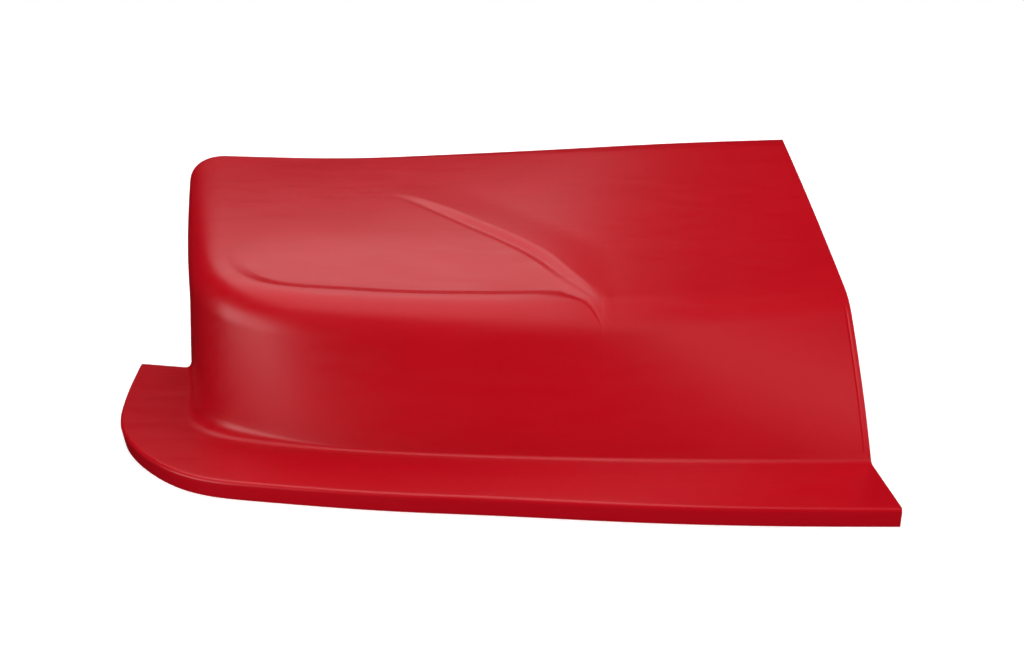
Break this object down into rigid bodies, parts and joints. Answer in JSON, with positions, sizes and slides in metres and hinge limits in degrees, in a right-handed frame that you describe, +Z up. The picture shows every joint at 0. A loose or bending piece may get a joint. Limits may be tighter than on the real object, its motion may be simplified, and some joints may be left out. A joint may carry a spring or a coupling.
{
  "type": "race car nose half",
  "caption": "Right-hand half of a two-piece late-model race car nose: sloping deck, lamp recess, front face and flat lip, with joint strip, stiffeners and adjustable braces inside.",
  "frame": {"origin": "on the outer face of the centre joint flange, in the car's centre plane", "axes": "+X out of the centre joint face towards the other half, +Y towards the rear of the car, +Z up"},
  "size_m": [1.061, 0.8646, 0.3535],
  "materials": {
    "moulding": "semi-gloss red, moulded in colour",
    "aluminium": "mill finish",
    "aluminium_rod": "drawn",
    "brace_tube": "drawn tube",
    "zinc_steel": "bright zinc plate",
    "spring_steel": "black phosphate",
    "bracket_steel": "black powder coat",
    "collar_steel": "black oxide",
    "black_plastic": "matt black nylon"
  },
  "bodies": {
    "nose": {"nose_skin": "moulding", "centre_backing_strip": "aluminium", "centre_inserts": "zinc_steel", "lip_angle": "aluminium", "lip_clip_nuts": "spring_steel", "rear_stiffener": "aluminium", "rear_studs": "zinc_steel", "edge_rod": "aluminium_rod", "edge_rod_saddles": "black_plastic", "brace_brackets": "bracket_steel", "pivot_bolts": "zinc_steel", "pivot_washers": "zinc_steel", "pivot_locknuts": "zinc_steel"},
    "inner_brace_upper": {"inner_brace_tube": "brace_tube", "inner_brace_collar": "collar_steel", "inner_clamp_screw": "zinc_steel"},
    "inner_brace_lower": {"inner_brace_rod": "zinc_steel"},
    "outer_brace_upper": {"outer_brace_tube": "brace_tube", "outer_brace_collar": "collar_steel", "outer_clamp_screw": "zinc_steel"},
    "outer_brace_lower": {"outer_brace_rod": "zinc_steel"}
  },
  "joints": [
    {"name": "inner_brace_swing", "type": "hinge", "parent": "nose", "child": "inner_brace_upper", "pos_m": [-0.25, 0.353, 0.0714], "axis": [1, 0, 0], "range_deg": [-60, 80]},
    {"name": "inner_brace_length", "type": "slide", "parent": "inner_brace_upper", "child": "inner_brace_lower", "axis": [0, 0, -1], "range_m": [0, 0.06]},
    {"name": "outer_brace_swing", "type": "hinge", "parent": "nose", "child": "outer_brace_upper", "pos_m": [-0.7, 0.353, 0.05652], "axis": [1, 0, 0], "range_deg": [-60, 80]},
    {"name": "outer_brace_length", "type": "slide", "parent": "outer_brace_upper", "child": "outer_brace_lower", "axis": [0, 0, -1], "range_m": [0, 0.06]}
  ]
}
